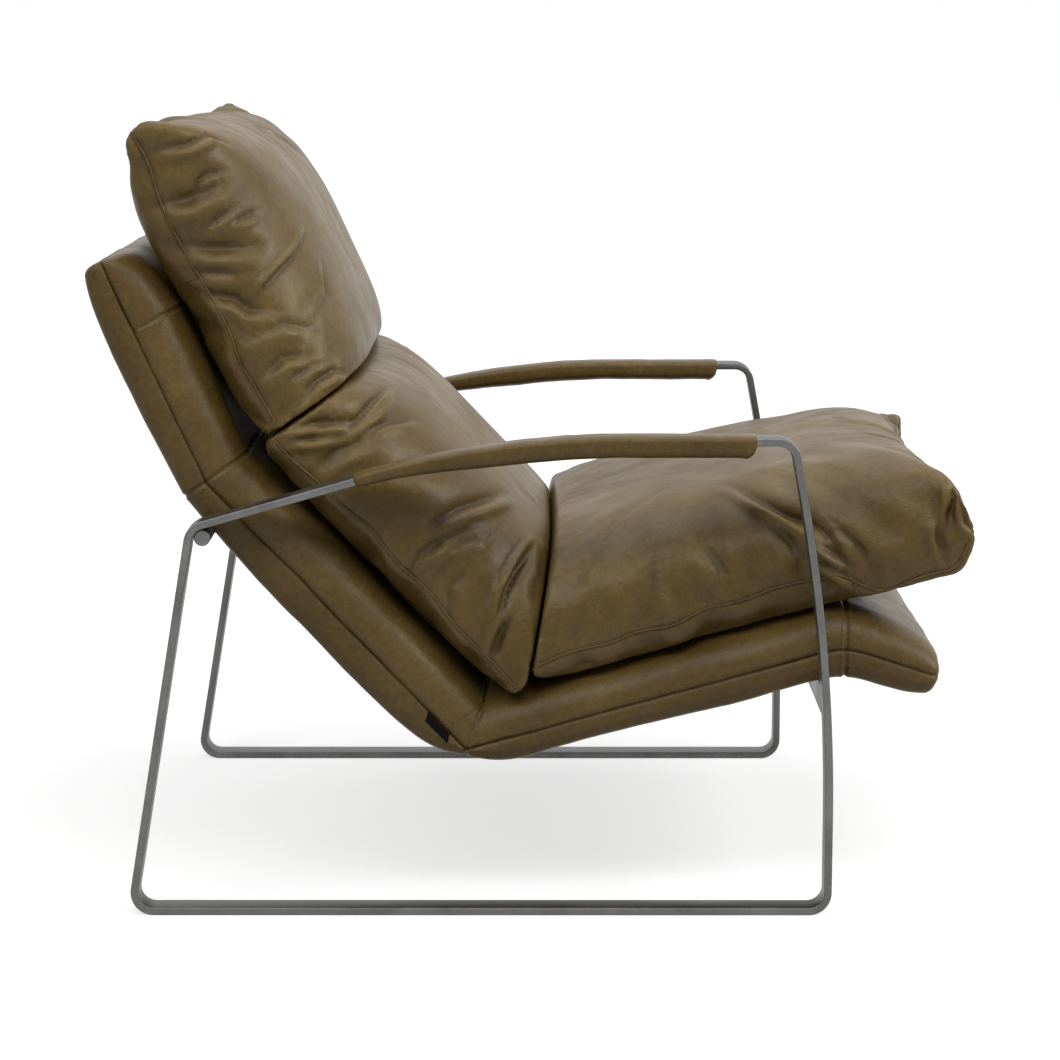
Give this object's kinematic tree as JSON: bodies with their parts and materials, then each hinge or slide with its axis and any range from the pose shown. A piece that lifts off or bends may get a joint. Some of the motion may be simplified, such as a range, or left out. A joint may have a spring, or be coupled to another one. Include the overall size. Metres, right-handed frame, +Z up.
{
  "type": "leather lounge chair",
  "caption": "Low lounge chair: flat-bar steel side loops carry a padded leather sling shell with loose head, lumbar and seat cushions and leather arm sleeves.",
  "frame": {"origin": "on the floor, under the middle of the chair's box", "axes": "+Z up, the chair faces -Y, X runs across it, with the chair's right-hand loop at -X"},
  "size_m": [0.7258, 0.9186, 0.8171],
  "materials": {
    "frame_steel": "gunmetal grey flat bar, satin, slightly mottled",
    "inner_steel": "black paint",
    "zinc": "zinc plated",
    "hide": "olive brown aniline leather, satin, fine grain",
    "hide_shade": "olive brown leather of the rear band, satin, fine grain",
    "foam": "open-cell foam",
    "fibre": "fibre and foam filling in a cotton case",
    "webbing": "elastic webbing",
    "zip_tape": "dark zip tape"
  },
  "bodies": {
    "root": {"right_side_frame": "frame_steel", "right_arm_pad": "foam", "right_arm_sleeve": "hide", "right_rod_tab": "frame_steel", "right_front_tab": "frame_steel", "right_rod_bolt": "zinc", "right_front_bolt": "zinc", "right_shell_rail": "inner_steel", "left_side_frame": "frame_steel", "left_arm_pad": "foam", "left_arm_sleeve": "hide", "left_rod_tab": "frame_steel", "left_front_tab": "frame_steel", "left_rod_bolt": "zinc", "left_front_bolt": "zinc", "left_shell_rail": "inner_steel", "rear_cross_rod": "frame_steel", "front_cross_bar": "frame_steel", "shell_top_rail": "inner_steel", "shell_rod_rail": "inner_steel", "shell_front_rail": "inner_steel", "shell_lip_rail": "inner_steel", "upper_back_strap_1": "webbing", "upper_back_strap_2": "webbing", "lower_back_strap_1": "webbing", "lower_back_strap_2": "webbing", "lower_back_strap_3": "webbing", "seat_strap_1": "webbing", "seat_strap_2": "webbing", "seat_strap_3": "webbing", "seat_strap_4": "webbing", "back_foam": "foam", "seat_foam": "foam", "back_lining": "foam", "seat_lining": "foam", "shell_top_panel": "hide", "shell_upper_back_panel": "hide", "shell_lower_back_panel": "hide", "shell_seat_panel": "hide", "shell_lip_panel": "hide", "shell_rear_upper_panel": "hide_shade", "shell_rear_lower_panel": "hide_shade", "shell_underside_panel": "hide_shade", "shell_lip_underside_panel": "hide_shade", "head_cushion_cover": "hide", "head_cushion_core": "fibre", "head_cushion_zip": "zip_tape", "lumbar_cushion_cover": "hide", "lumbar_cushion_core": "fibre", "lumbar_cushion_zip": "zip_tape", "seat_cushion_cover": "hide", "seat_cushion_core": "fibre", "seat_cushion_zip": "zip_tape"}
  },
  "joints": []
}
